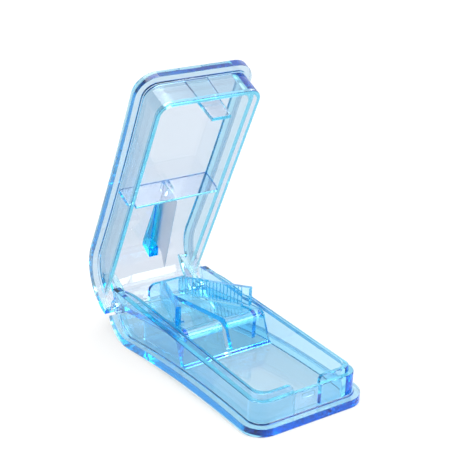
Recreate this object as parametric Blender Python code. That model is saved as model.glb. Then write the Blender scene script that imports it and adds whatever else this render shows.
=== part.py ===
"""Pill splitter: two translucent hinged shells, a V-shaped pill seat and a steel blade.

The model is drawn in the case frame, in millimetres: X to the right, Y rearwards from
the outer face of the front wall, Z up from the front bottom edge, with the parting plane
between the shells level. An empty tilts that frame so that the arched bottom stands on
its front edge and its heel. A second empty on the hinge axis opens the lid.
"""

import math

import bmesh
import bpy
from mathutils import Matrix, Vector

MM = 0.001
GAP = 0.3

# Plan of both shells.
WALL_HALF = 16.9
FLANGE_OUT = 2.2
FLANGE_THICK = 2.5
SKIN = 1.6
WALL_CORNER = 4.2
LIP_HALF = 15.4
BASE_INNER_HALF = 14.5
BASE_INNER_FRONT = 2.5
LID_INNER_HALF = 14.4
LID_INNER_FRONT = 2.4
FAR_REAR = 90.0

# Heights above the front bottom edge.
LEDGE_Z = 9.0
LIP_Z = 10.7
LID_FRONT_TOP = 20.45

# Gentle arch of the bottom and dish of the top: linear and square terms along Y.
BOTTOM_LINEAR = 0.027
BOTTOM_SQUARE = -0.0016
TOP_LINEAR = -0.0416
TOP_SQUARE = 0.00054
HEEL_JOIN = 63.9
HEEL_RADIUS = 11.0
HEEL_END = math.radians(-27.4)
NAPE_JOIN = 65.1
NAPE_RADIUS = 14.1
NAPE_END = math.radians(-9.0)

# Hinge.
HINGE_Y = 76.1
HINGE_Z = 3.0
BOSS_RADIUS = 2.3
PIN_RADIUS = 1.2
PIN_HOLE_RADIUS = 1.5
ARM_INNER = 11.9
ARM_OUTER = 13.9
ARM_ROOT_HALF = 14.8
ARM_ROOM_RADIUS = 2.7
ARM_FRONT = (70.6, 15.5)
ARM_ROOT_TOP = 14.5
EAR_ANGLE = math.radians(78.0)
EAR_START = 62.0
EAR_TIP_Z = 7.1
LID_OPEN = math.radians(65.2)

# Latch.
TONGUE_HALF = 3.7
TONGUE_FRONT = 1.8
TONGUE_REAR = 3.1
TONGUE_TIP = 3.3
POCKET_HALF = 4.3
POCKET_FRONT = 1.2
POCKET_FLOOR = 2.3
CATCH_HALF = 2.0
CATCH_PROUD = 0.3
CATCH_TOP = 7.6
CATCH_HEIGHT = 1.3

# Pill seat.
SEAT_HALF = 14.2
SEAT_FRONT = 42.5
SEAT_FRONT_Z = 9.85
SEAT_REAR = 71.5
SEAT_SLOPE = -0.16
SEAT_THICK = 1.8
SEAT_FOOT_Y = 37.4
SEAT_TOE = 0.8
SKIRT_FRONT = 43.0
SKIRT_REAR = 63.0
SKIRT_THICK = 1.2
SKIRT_HALF = 12.4
GROOVE_HALF = 1.0
GROOVE_LOW = 1.1
BACK_PANEL_HALF = 7.2
BACK_PANEL_TOP = 10.2

# Fences of the V.
FENCE_REAR = Vector((3.2, 70.7))
FENCE_FRONT = Vector((12.7, 46.0))
FENCE_THICK = 1.3
FENCE_TOP_FRONT = 15.6
FENCE_TOP_SLOPE = -0.185
FENCE_FOOT_WIDTH = 1.7
FENCE_FOOT_HEIGHT = 0.5
RIB_PITCH = 1.3
RIB_PROUD = 0.35

# Blade and its clamp.
BLADE_THICK = 0.3
BLADE_FRONT = 41.05
BLADE_TOP = 17.7
EDGE_DIP = 0.15
TIP_Y = 66.3
BLADE_REAR = 62.7
CLAMP_HALF = 1.7
CLAMP_FRONT = 48.6
CLAMP_REAR = 67.4
CLAMP_LOW_EDGE = ((48.6, 17.0), (65.6, 13.4), (68.0, 12.4))
STOP_RIB_Y = 40.2
STOP_RIB_THICK = 1.0
STOP_RIB_LOW = 10.1
LUG_REAR = 43.6
LUG_LOW = 14.8

# Standing.
FOOT_SHAVE = 0.12
FRONT_FOOT_Y = -2.0

SMOOTH_BELOW = math.radians(30.0)

BLUE = (0.33, 0.62, 0.92)
DEEP_BLUE = (0.05, 0.30, 0.80)
STEEL = (0.62, 0.65, 0.68)


def clear_scene():
    """Remove every object, so that the model starts in an empty scene."""
    for item in list(bpy.data.objects):
        bpy.data.objects.remove(item, do_unlink=True)


def arc(centre, radius, start, end, steps):
    """Return points on an arc in the side plane, from one angle to another."""
    points = []
    for step in range(steps + 1):
        angle = start + (end - start) * step / steps
        points.append((centre[0] + radius * math.cos(angle), centre[1] + radius * math.sin(angle)))
    return points


def bottom_z(y):
    """Height of the outer bottom surface."""
    return BOTTOM_LINEAR * max(y, 0.0) + BOTTOM_SQUARE * max(y, 0.0) ** 2


def top_z(y):
    """Height of the outer top surface of the closed lid."""
    return LID_FRONT_TOP + TOP_LINEAR * max(y, 0.0) + TOP_SQUARE * max(y, 0.0) ** 2


def slope_at(surface, y):
    """Slope of an outer surface at y."""
    step = 0.01
    return (surface(y + step) - surface(y - step)) / (2 * step)


def round_centre(surface, join, radius, side):
    """Centre of the arc that continues a surface tangentially; side is +1 above it, -1 below it."""
    slope = slope_at(surface, join)
    length = math.hypot(1.0, slope)
    return (join - side * slope * radius / length, surface(join) + side * radius / length)


HEEL = round_centre(bottom_z, HEEL_JOIN, HEEL_RADIUS, 1)
NAPE = round_centre(top_z, NAPE_JOIN, NAPE_RADIUS, -1)


def skin(surface, join, centre, radius, end, side, inset, front):
    """Points along an outer surface from the front to the rear end, moved inwards by inset."""
    points = []
    count = 16
    for step in range(count + 1):
        y = front + (join - front) * step / count
        slope = slope_at(surface, y)
        length = math.hypot(1.0, slope)
        points.append((y - side * slope * inset / length, surface(y) + side * inset / length))
    start = math.atan2(surface(join) - centre[1], join - centre[0])
    return points + arc(centre, radius - inset, start, end, 14)[1:]


def base_skin(inset, front=-FLANGE_OUT):
    """Bottom surface of the base, from the front to the heel's end."""
    return skin(bottom_z, HEEL_JOIN, HEEL, HEEL_RADIUS, HEEL_END, 1, inset, front)


def lid_skin(inset, front=-FLANGE_OUT):
    """Top surface of the closed lid, from the front to the nape's end."""
    return skin(top_z, NAPE_JOIN, NAPE, NAPE_RADIUS, NAPE_END, -1, inset, front)


def seat_z(y):
    """Height of the pill seat's top."""
    return SEAT_FRONT_Z + SEAT_SLOPE * (y - SEAT_FRONT)


def fence_top_z(y):
    """Height of the fences' top edge."""
    return FENCE_TOP_FRONT + FENCE_TOP_SLOPE * (y - FENCE_FRONT.y)


def make_empty(name, parent, location, tilt):
    """Add an empty turned about X, in millimetres of its parent's frame."""
    empty = bpy.data.objects.new(name, None)
    bpy.context.collection.objects.link(empty)
    empty.empty_display_size = 0.01
    empty.parent = parent
    empty.location = Vector(location) * MM
    empty.rotation_euler = (tilt, 0.0, 0.0)
    return empty


def make_object(name, mesh_bm, frame):
    """Turn a bmesh in case millimetres into an object held by a frame empty."""
    bmesh.ops.scale(mesh_bm, vec=(MM, MM, MM), verts=mesh_bm.verts)
    bmesh.ops.recalc_face_normals(mesh_bm, faces=mesh_bm.faces)
    mesh = bpy.data.meshes.new(name)
    mesh_bm.to_mesh(mesh)
    mesh_bm.free()
    item = bpy.data.objects.new(name, mesh)
    bpy.context.collection.objects.link(item)
    item.parent = frame["empty"]
    item.location = Vector(frame["offset"]) * MM
    return item


def loft(name, lower, upper, frame):
    """Close a body between two matching loops of 3-D points."""
    body = bmesh.new()
    low = [body.verts.new(point) for point in lower]
    high = [body.verts.new(point) for point in upper]
    body.faces.new(low)
    body.faces.new(high)
    for index in range(len(low)):
        after = (index + 1) % len(low)
        body.faces.new((low[index], low[after], high[after], high[index]))
    return make_object(name, body, frame)


def side_body(name, outline, x_from, x_to, frame):
    """Extrude an outline of (y, z) points across the case."""
    left = [(x_from, y, z) for y, z in outline]
    right = [(x_to, y, z) for y, z in outline]
    return loft(name, left, right, frame)


def plan_body(name, outline, z_from, z_to, frame):
    """Extrude an outline of (x, y) points upwards."""
    low = [(x, y, z_from) for x, y in outline]
    high = [(x, y, z_to) for x, y in outline]
    return loft(name, low, high, frame)


def box(name, x_span, y_span, z_span, frame):
    """Add a box from its spans."""
    outline = [(y_span[0], z_span[0]), (y_span[1], z_span[0])]
    outline += [(y_span[1], z_span[1]), (y_span[0], z_span[1])]
    return side_body(name, outline, x_span[0], x_span[1], frame)


def rod(name, centre, radius, x_span, frame, steps=28):
    """Add a cylinder that lies along X."""
    outline = arc(centre, radius, 0.0, 2 * math.pi, steps)[:-1]
    return side_body(name, outline, x_span[0], x_span[1], frame)


def tub_outline(half, front, corner):
    """Plan outline with two rounded front corners, running out past the rear."""
    left = arc((-half + corner, front + corner), corner, math.pi, 1.5 * math.pi, 8)
    right = arc((half - corner, front + corner), corner, 1.5 * math.pi, 2 * math.pi, 8)
    return left + right + [(half, FAR_REAR), (-half, FAR_REAR)]


def combine(target, tool, operation):
    """Add an exact Boolean and turn the tool into a hidden guide."""
    modifier = target.modifiers.new(operation.lower() + "_" + tool.name, "BOOLEAN")
    modifier.operation = operation
    modifier.solver = "EXACT"
    modifier.object = tool
    tool.hide_render = True
    tool.display_type = "WIRE"


def in_plan(item, half, front, corner, frame):
    """Round the front corners of a body by keeping what lies inside a plan outline."""
    keeper = plan_body(item.name + "_plan", tub_outline(half, front, corner), -30.0, 40.0, frame)
    combine(item, keeper, "INTERSECT")
    return item


def finish(item):
    """Fix the Booleans into the mesh, remove their tools and shade round faces smooth."""
    tools = [item]
    for tool in tools:
        tools += [modifier.object for modifier in tool.modifiers]
    depsgraph = bpy.context.evaluated_depsgraph_get()
    mesh = bpy.data.meshes.new_from_object(item.evaluated_get(depsgraph))
    item.modifiers.clear()
    item.data = mesh
    mesh.name = item.name
    mesh.shade_smooth()
    mesh.set_sharp_from_angle(angle=SMOOTH_BELOW)
    for tool in tools[1:]:
        bpy.data.objects.remove(tool, do_unlink=True)


def paint(item, name, colour, roughness, metallic, alpha=1.0):
    """Give an object its own Principled material."""
    material = bpy.data.materials.new(name)
    material.use_nodes = True
    shader = material.node_tree.nodes["Principled BSDF"]
    shader.inputs["Base Color"].default_value = (*colour, 1.0)
    shader.inputs["Roughness"].default_value = roughness
    shader.inputs["Metallic"].default_value = metallic
    shader.inputs["Alpha"].default_value = alpha
    material.diffuse_color = (*colour, alpha)
    item.data.materials.append(material)


def build_base(frame):
    """Base shell: flanged bottom, walls with a lip, hinge cheeks and a latch pocket."""
    flange = base_skin(0.0) + base_skin(FLANGE_THICK)[::-1]
    base = side_body("base_shell", flange, -WALL_HALF - FLANGE_OUT, WALL_HALF + FLANGE_OUT, frame)
    in_plan(base, WALL_HALF + FLANGE_OUT, -FLANGE_OUT, WALL_CORNER + FLANGE_OUT, frame)

    hinge = (HINGE_Y, HINGE_Z)
    ear_reach = LEDGE_Z - HINGE_Z
    ear = arc(hinge, BOSS_RADIUS, math.radians(-20.0), EAR_ANGLE, 8)
    ear += arc(hinge, ear_reach, EAR_ANGLE, math.pi / 2, 3)
    wall = base_skin(0.05, front=0.0) + ear + [(0.0, LEDGE_Z)]
    walls = side_body("base_walls", wall, -WALL_HALF, WALL_HALF, frame)
    in_plan(walls, WALL_HALF, 0.0, WALL_CORNER, frame)
    combine(base, walls, "UNION")

    crown = []
    for step in range(13):
        angle = math.pi / 2 * step / 12
        y = EAR_START + (HINGE_Y - EAR_START) * math.sin(angle)
        crown.append((y, EAR_TIP_Z + (LIP_Z - EAR_TIP_Z) * math.cos(angle)))
    setback = WALL_HALF - LIP_HALF
    lip_outline = [(setback, 4.0), (setback, LIP_Z)] + crown + [(HINGE_Y - 8.0, 4.0)]
    lip = side_body("base_lip", lip_outline, -LIP_HALF, LIP_HALF, frame)
    in_plan(lip, LIP_HALF, setback, WALL_CORNER - setback, frame)
    combine(base, lip, "UNION")

    floor = base_skin(SKIN, front=BASE_INNER_FRONT)
    behind = FAR_REAR - 5.0
    hollow_outline = floor + [(behind, floor[-1][1] - 7.0), (behind, 30.0), (BASE_INNER_FRONT, 30.0)]
    hollow = side_body("base_hollow", hollow_outline, -BASE_INNER_HALF, BASE_INNER_HALF, frame)
    in_plan(hollow, BASE_INNER_HALF, BASE_INNER_FRONT, WALL_CORNER - BASE_INNER_FRONT, frame)
    combine(base, hollow, "DIFFERENCE")

    arm_room = rod("base_arm_room", hinge, ARM_ROOM_RADIUS, (-BASE_INNER_HALF, BASE_INNER_HALF), frame)
    combine(base, arm_room, "DIFFERENCE")
    pin_holes = rod("base_pin_holes", hinge, PIN_HOLE_RADIUS, (-WALL_HALF - 4, WALL_HALF + 4), frame)
    combine(base, pin_holes, "DIFFERENCE")
    pocket_y = (POCKET_FRONT, BASE_INNER_FRONT + 0.5)
    pocket = box("base_pocket", (-POCKET_HALF, POCKET_HALF), pocket_y, (POCKET_FLOOR, 20.0), frame)
    combine(base, pocket, "DIFFERENCE")
    catch_y = (POCKET_FRONT - 0.3, POCKET_FRONT + CATCH_PROUD)
    catch_z = (CATCH_TOP - CATCH_HEIGHT, CATCH_TOP)
    catch = box("base_catch", (-CATCH_HALF, CATCH_HALF), catch_y, catch_z, frame)
    combine(base, catch, "UNION")
    paint(base, "base_plastic", BLUE, 0.08, 0.0, 0.45)
    return base


def build_seat(frame):
    """Pill seat: a bridge with a leaning front, side skirts, a blade groove and a back panel."""
    floor_gap = SKIN + GAP
    foot_z = bottom_z(SEAT_FOOT_Y) + floor_gap
    toe_z = bottom_z(SEAT_FOOT_Y - SEAT_TOE) + floor_gap
    toe = (SEAT_FOOT_Y - SEAT_TOE, toe_z + 0.5)
    face = [(SEAT_FOOT_Y - 0.3, foot_z + 0.7), (SEAT_FOOT_Y + 0.4, foot_z + 1.6)]
    face += [(SEAT_FRONT - 2.5, SEAT_FRONT_Z - 2.9), (SEAT_FRONT - 2.1, SEAT_FRONT_Z - 1.5)]
    face += [(SEAT_FRONT - 1.4, SEAT_FRONT_Z - 0.6), (SEAT_FRONT - 0.3, SEAT_FRONT_Z - 0.1)]
    deck = [(SEAT_FRONT + 1.0, seat_z(SEAT_FRONT + 1.0)), (SEAT_REAR, seat_z(SEAT_REAR))]
    top = [toe] + face + deck
    under = [(SEAT_REAR, seat_z(SEAT_REAR) - SEAT_THICK)]
    under += [(SEAT_FRONT + 1.6, seat_z(SEAT_FRONT) - SEAT_THICK - 0.2)]
    under += [(SEAT_FRONT - 0.9, SEAT_FRONT_Z - 3.2), (SEAT_FOOT_Y + 1.9, foot_z + 0.9)]
    under += [(SEAT_FOOT_Y + 1.7, foot_z), (SEAT_FOOT_Y - SEAT_TOE, toe_z)]
    seat = side_body("pill_seat", top + under, -SEAT_HALF, SEAT_HALF, frame)

    for side in (-1, 1):
        low = [(y, bottom_z(y) + floor_gap) for y in (SKIRT_FRONT, SKIRT_REAR)]
        high = [(SKIRT_REAR, seat_z(SKIRT_REAR) - 0.4), (SKIRT_FRONT, seat_z(SKIRT_FRONT) - 0.4)]
        edges = sorted((side * SKIRT_HALF, side * (SKIRT_HALF - SKIRT_THICK)))
        skirt = side_body(f"seat_skirt_{side}", low + high, edges[0], edges[1], frame)
        combine(seat, skirt, "UNION")

    corner = 2.2
    panel_low = seat_z(SEAT_REAR) - SEAT_THICK
    right = arc((BACK_PANEL_HALF - corner, BACK_PANEL_TOP - corner), corner, 0.0, math.pi / 2, 6)
    left = arc((-BACK_PANEL_HALF + corner, BACK_PANEL_TOP - corner), corner, math.pi / 2, math.pi, 6)
    panel_outline = [(-BACK_PANEL_HALF, panel_low), (BACK_PANEL_HALF, panel_low)] + right + left
    rear = [(x, SEAT_REAR + 0.9, z) for x, z in panel_outline]
    front = [(x, SEAT_REAR - 0.3, z) for x, z in panel_outline]
    panel = loft("seat_back_panel", front, rear, frame)
    combine(seat, panel, "UNION")

    groove_y = (SEAT_FOOT_Y - 4.0, SEAT_REAR - 1.0)
    groove = box("seat_groove", (-GROOVE_HALF, GROOVE_HALF), groove_y, (foot_z + GROOVE_LOW, 14.0), frame)
    combine(seat, groove, "DIFFERENCE")
    paint(seat, "seat_plastic", BLUE, 0.1, 0.0, 0.5)
    return seat


def fence_prism(name, plan, low_offset, top_height, frame):
    """Raise a plan outline from the seat to a height that may follow the fence top."""
    low = [(x, y, seat_z(y) + low_offset) for x, y in plan]
    high = [(x, y, top_height(y)) for x, y in plan]
    return loft(name, low, high, frame)


def build_fence(name, side, frame):
    """One fence of the V: an upright wall with vertical ribs inside and a narrow foot."""
    along = (FENCE_REAR - FENCE_FRONT).normalized()
    inward = Vector((along.y, -along.x))
    if inward.x > 0:
        inward.negate()
    length = (FENCE_REAR - FENCE_FRONT).length
    outer = -inward * (FENCE_THICK / 2)
    plan = [FENCE_FRONT + outer, FENCE_REAR + outer, FENCE_REAR + inward * (FENCE_THICK / 2)]
    ribs = int((length - 2.4) / RIB_PITCH)
    for index in range(ribs):
        start = length - 0.6 - index * RIB_PITCH
        inner = FENCE_FRONT + inward * (FENCE_THICK / 2)
        plan.append(inner + along * start)
        plan.append(inner + along * (start - RIB_PITCH * 0.25) + inward * RIB_PROUD)
        plan.append(inner + along * (start - RIB_PITCH * 0.6) + inward * RIB_PROUD)
        plan.append(inner + along * (start - RIB_PITCH * 0.8))
    post = FENCE_FRONT + inward * (FENCE_THICK / 2 + RIB_PROUD)
    plan += [post + along * 1.2, post]
    plan = [(side * point.x, point.y) for point in plan]
    fence = fence_prism(name, plan, GAP, fence_top_z, frame)

    reach = inward * (FENCE_THICK / 2 + FENCE_FOOT_WIDTH)
    foot_plan = [FENCE_FRONT + along * 2.0, FENCE_REAR - along * 6.0]
    foot_plan += [FENCE_REAR - along * 6.0 + reach, FENCE_FRONT + along * 2.0 + reach]
    foot_plan = [(side * point.x, point.y) for point in foot_plan]
    foot_low = GAP + 0.02
    foot_top = GAP + FENCE_FOOT_HEIGHT
    foot = fence_prism(name + "_foot", foot_plan, foot_low, lambda y: seat_z(y) + foot_top, frame)
    combine(fence, foot, "UNION")
    paint(fence, name + "_plastic", BLUE, 0.1, 0.0, 0.5)
    return fence


def build_lid(frame):
    """Lid shell: flanged top, rebated walls, latch tongue, stop rib, blade lugs and hinge arms."""
    flange = lid_skin(0.0) + lid_skin(FLANGE_THICK)[::-1]
    lid = side_body("lid_shell", flange, -WALL_HALF - FLANGE_OUT, WALL_HALF + FLANGE_OUT, frame)
    in_plan(lid, WALL_HALF + FLANGE_OUT, -FLANGE_OUT, WALL_CORNER + FLANGE_OUT, frame)

    rim_z = LEDGE_Z + GAP
    outer_skin = [point for point in lid_skin(0.05, front=0.0) if point[1] > rim_z]
    wall = outer_skin + [(outer_skin[-1][0], rim_z), (0.0, rim_z)]
    walls = side_body("lid_walls", wall, -WALL_HALF, WALL_HALF, frame)
    in_plan(walls, WALL_HALF, 0.0, WALL_CORNER, frame)
    combine(lid, walls, "UNION")

    roof = lid_skin(SKIN, front=LID_INNER_FRONT)
    hollow_outline = roof + [(roof[-1][0], -20.0), (LID_INNER_FRONT, -20.0)]
    hollow = side_body("lid_hollow", hollow_outline, -LID_INNER_HALF, LID_INNER_HALF, frame)
    in_plan(hollow, LID_INNER_HALF, LID_INNER_FRONT, WALL_CORNER - LID_INNER_FRONT, frame)
    combine(lid, hollow, "DIFFERENCE")

    rebate_half = LIP_HALF + GAP
    setback = WALL_HALF - rebate_half
    shoulder_z = LIP_Z + GAP + 0.02
    rear_skin = [point for point in lid_skin(SKIN) if point[0] > NAPE[0] and point[1] < shoulder_z]
    rebate_outline = [(setback, -20.0), (setback, shoulder_z), (rear_skin[0][0], shoulder_z)] + rear_skin
    rebate_outline += [(rear_skin[-1][0], -20.0)]
    rebate = side_body("lid_rebate", rebate_outline, -rebate_half, rebate_half, frame)
    in_plan(rebate, rebate_half, setback, WALL_CORNER - setback, frame)
    combine(lid, rebate, "DIFFERENCE")

    low_skin = [point for point in lid_skin(SKIN) if point[0] > NAPE[0] and point[1] < rim_z]
    ear_room_outline = [(60.0, -20.0), (60.0, rim_z), (low_skin[0][0], rim_z)] + low_skin
    ear_room_outline += [(low_skin[-1][0], -20.0)]
    ear_room = side_body("lid_ear_room", ear_room_outline, -WALL_HALF - GAP, WALL_HALF + GAP, frame)
    combine(lid, ear_room, "DIFFERENCE")

    boss_x = (-WALL_HALF - GAP, WALL_HALF + GAP)
    boss_room = rod("lid_boss_room", (HINGE_Y, HINGE_Z), BOSS_RADIUS + GAP, boss_x, frame)
    combine(lid, boss_room, "DIFFERENCE")

    tongue_y = (TONGUE_FRONT, TONGUE_REAR)
    tongue_top = top_z(TONGUE_REAR) - SKIN + 0.4
    tongue = box("lid_tongue", (-TONGUE_HALF, TONGUE_HALF), tongue_y, (TONGUE_TIP, tongue_top), frame)
    combine(lid, tongue, "UNION")

    rib_y = (STOP_RIB_Y - STOP_RIB_THICK / 2, STOP_RIB_Y + STOP_RIB_THICK / 2)
    roof_z = top_z(STOP_RIB_Y) - SKIN + 0.4
    rib_shoulder = shoulder_z + 0.4
    rib_low_half = BASE_INNER_HALF - GAP - 0.1
    rib_outline = [(-rib_low_half, STOP_RIB_LOW), (rib_low_half, STOP_RIB_LOW), (rib_low_half, rib_shoulder)]
    rib_outline += [(LID_INNER_HALF + 0.4, rib_shoulder), (LID_INNER_HALF + 0.4, roof_z)]
    rib_outline += [(-LID_INNER_HALF - 0.4, roof_z), (-LID_INNER_HALF - 0.4, rib_shoulder)]
    rib_outline += [(-rib_low_half, rib_shoulder)]
    rib_front = [(x, rib_y[0], z) for x, z in rib_outline]
    rib_rear = [(x, rib_y[1], z) for x, z in rib_outline]
    combine(lid, loft("lid_stop_rib", rib_front, rib_rear, frame), "UNION")

    lug_inner = BLADE_THICK / 2 + GAP
    lug_top = top_z(LUG_REAR) - SKIN + 0.4
    for side in (-1, 1):
        edges = sorted((side * lug_inner, side * (lug_inner + 0.8)))
        lug = box(f"lid_lug_{side}", edges, (rib_y[1] - 0.3, LUG_REAR), (LUG_LOW, lug_top), frame)
        combine(lid, lug, "UNION")

    hinge = (HINGE_Y, HINGE_Z)
    arm_outline = arc(hinge, BOSS_RADIUS, math.radians(-175.0), math.radians(5.0), 14)
    arm_outline += arc(NAPE, NAPE_RADIUS - SKIN / 2, math.radians(-5.0), math.radians(50.0), 8) + [ARM_FRONT]
    root_low = shoulder_z + 0.5
    root_outline = [(ARM_FRONT[0] + 0.5, root_low), (NAPE[0] + 11.8, root_low)]
    root_outline += [(NAPE[0] + 10.2, ARM_ROOT_TOP)]
    root_outline += [(ARM_FRONT[0] - 0.3, ARM_ROOT_TOP)]
    for side in (-1, 1):
        edges = sorted((side * ARM_INNER, side * ARM_OUTER))
        combine(lid, side_body(f"lid_arm_{side}", arm_outline, edges[0], edges[1], frame), "UNION")
        edges = sorted((side * (ARM_INNER + 0.05), side * ARM_ROOT_HALF))
        combine(lid, side_body(f"lid_arm_root_{side}", root_outline, edges[0], edges[1], frame), "UNION")
        edges = sorted((side * (ARM_OUTER - 0.5), side * (WALL_HALF - 0.1)))
        combine(lid, rod(f"lid_pin_{side}", hinge, PIN_RADIUS, edges, frame, steps=20), "UNION")
    paint(lid, "lid_plastic", BLUE, 0.08, 0.0, 0.45)
    return lid


def build_blade(frame):
    """Steel blade: a thin plate whose cutting edge slopes down to a rear tip."""
    tip_z = seat_z(TIP_Y) - EDGE_DIP
    outline = [(BLADE_FRONT, seat_z(BLADE_FRONT) - EDGE_DIP), (TIP_Y, tip_z), (BLADE_REAR, tip_z + 3.8)]
    outline += [(BLADE_REAR, BLADE_TOP), (BLADE_FRONT, BLADE_TOP)]
    blade = side_body("blade", outline, -BLADE_THICK / 2, BLADE_THICK / 2, frame)
    paint(blade, "blade_steel", STEEL, 0.25, 1.0)
    return blade


def build_clamp(frame):
    """Blade clamp: a solid block over the blade's back, slotted for the blade."""
    high = []
    for step in range(5):
        y = CLAMP_REAR + (CLAMP_FRONT - CLAMP_REAR) * step / 4
        distance = max(y - NAPE[0], 0.0)
        roof = top_z(min(y, NAPE_JOIN)) - SKIN - GAP - 0.05 - distance * 0.2
        high.append((y, roof))
    clamp = side_body("blade_clamp", list(CLAMP_LOW_EDGE) + high, -CLAMP_HALF, CLAMP_HALF, frame)
    slot_half = BLADE_THICK / 2 + GAP
    slot_y = (CLAMP_FRONT - 2.0, BLADE_REAR + GAP)
    slot = box("clamp_slot", (-slot_half, slot_half), slot_y, (5.0, BLADE_TOP + GAP), frame)
    combine(clamp, slot, "DIFFERENCE")
    paint(clamp, "clamp_plastic", DEEP_BLUE, 0.12, 0.0, 0.8)
    return clamp


def standing_tilt():
    """Angle that brings the front foot and the heel onto one level plane."""
    rise = HEEL[1] - bottom_z(FRONT_FOOT_Y)
    run = HEEL[0] - FRONT_FOOT_Y
    return math.asin(HEEL_RADIUS / math.hypot(rise, run)) - math.atan2(rise, run)


def main():
    """Build the pill splitter with its lid open."""
    clear_scene()
    tilt = standing_tilt()
    heel_centre = Matrix.Rotation(tilt, 4, "X") @ Vector((0.0, *HEEL))
    drop = HEEL_RADIUS - FOOT_SHAVE
    case_frame = make_empty("case_frame", None, (0.0, -heel_centre.y, drop - heel_centre.z), tilt)
    lid_pivot = make_empty("lid_pivot", case_frame, (0.0, HINGE_Y, HINGE_Z), -LID_OPEN)
    world = {"empty": None, "offset": (0.0, 0.0, 0.0)}
    case = {"empty": case_frame, "offset": (0.0, 0.0, 0.0)}
    lid = {"empty": lid_pivot, "offset": (0.0, -HINGE_Y, -HINGE_Z)}

    base = build_base(case)
    below = box("below_table", (-40.0, 40.0), (-120.0, 60.0), (-20.0, 0.0), world)
    combine(base, below, "DIFFERENCE")
    pieces = [base, build_seat(case)]
    pieces += [build_fence("fence_left", -1, case), build_fence("fence_right", 1, case)]
    pieces += [build_lid(lid), build_blade(lid), build_clamp(lid)]
    for piece in pieces:
        finish(piece)


main()
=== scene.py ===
import logging
import math
from dataclasses import dataclass, field
from enum import Enum
from typing import Callable

import bmesh
import bpy
from mathutils import Matrix, Vector

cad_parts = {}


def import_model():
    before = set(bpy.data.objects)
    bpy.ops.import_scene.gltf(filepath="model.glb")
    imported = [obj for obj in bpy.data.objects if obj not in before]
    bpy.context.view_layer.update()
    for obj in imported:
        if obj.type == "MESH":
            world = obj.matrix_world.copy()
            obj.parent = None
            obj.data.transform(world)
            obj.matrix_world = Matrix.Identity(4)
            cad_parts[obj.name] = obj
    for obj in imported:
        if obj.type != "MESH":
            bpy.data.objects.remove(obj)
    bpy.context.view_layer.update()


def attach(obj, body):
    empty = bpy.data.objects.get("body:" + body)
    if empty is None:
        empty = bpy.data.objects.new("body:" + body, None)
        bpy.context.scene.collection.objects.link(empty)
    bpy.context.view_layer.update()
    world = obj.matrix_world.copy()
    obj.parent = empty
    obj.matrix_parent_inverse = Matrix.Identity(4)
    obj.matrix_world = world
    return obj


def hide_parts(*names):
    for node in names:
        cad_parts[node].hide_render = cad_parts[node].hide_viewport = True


Pair = tuple[float, float]
Outline = list[Pair]

LOG = logging.getLogger("pill_splitter")
# One millimetre in metres. Every other length below is in millimetres of the case frame.
MM = 0.001
# Air between touching pieces.
GAP = 0.3
# How far a solid runs into a flat or a curved neighbour, so that the two merge cleanly.
OVERLAP = 0.3
DEEP_OVERLAP = 0.4
# How far a side outline is extruded past the plan that trims it.
SPARE = 1.0
# Ends of the tools that cut or keep, well clear of the case on every side.
FAR_REAR = 90.0
FAR_SIDE = 30.0
FAR_LOW = -20.0
FAR_HIGH = 30.0
KEEPER_Z = (-30.0, 40.0)
TABLE_Y = (-90.0, 40.0)
TABLE_Z = (-5.0, 0.0)
# Edges that turn more than this are drawn sharp or rounded.
SHARP = math.radians(32.0)
BLUNT = math.radians(50.0)


class Side(Enum):
    """Left or right half of the case."""

    LEFT = -1
    RIGHT = 1

    def span(self, near: float, far: float) -> Pair:
        """Span across this half between two distances from the middle."""
        low, high = sorted((self.value * near, self.value * far))
        return low, high


class Join(Enum):
    """How two solids are combined."""

    ADD = "UNION"
    CUT = "DIFFERENCE"
    KEEP = "INTERSECT"


def linear(hex_colour: str) -> tuple[float, float, float, float]:
    """Convert an sRGB hex colour to linear light.

    Args:
        hex_colour: Six hex digits, red first.

    Returns:
        Red, green, blue and an alpha of 1.
    """
    values = []
    for start in (0, 2, 4):
        share = int(hex_colour[start:start + 2], 16) / 255
        values.append(share / 12.92 if share <= 0.04045 else ((share + 0.055) / 1.055) ** 2.4)
    return (values[0], values[1], values[2], 1.0)


def add_node(tree: bpy.types.NodeTree, kind: str, settings: dict | None = None,
             links: dict | None = None) -> bpy.types.Node:
    """Add a node, set its properties and sockets, and link its inputs.

    Args:
        tree: Node tree that gets the node.
        kind: Blender's type name of the node.
        settings: Property names or input names to values.
        links: Input names to the output sockets that feed them.

    Returns:
        The new node.
    """
    node = tree.nodes.new(kind)
    for name, value in (settings or {}).items():
        if name in node.inputs:
            node.inputs[name].default_value = value
        else:
            setattr(node, name, value)
    for name, socket in (links or {}).items():
        tree.links.new(socket, node.inputs[name])
    return node


def empty_material(name: str) -> tuple[bpy.types.Material, bpy.types.NodeTree]:
    """Make a material whose node tree is empty.

    Args:
        name: Name of the material.

    Returns:
        The material and its tree.
    """
    material = bpy.data.materials.new(name)
    material.use_nodes = True
    material.node_tree.nodes.clear()
    return material, material.node_tree


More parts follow.
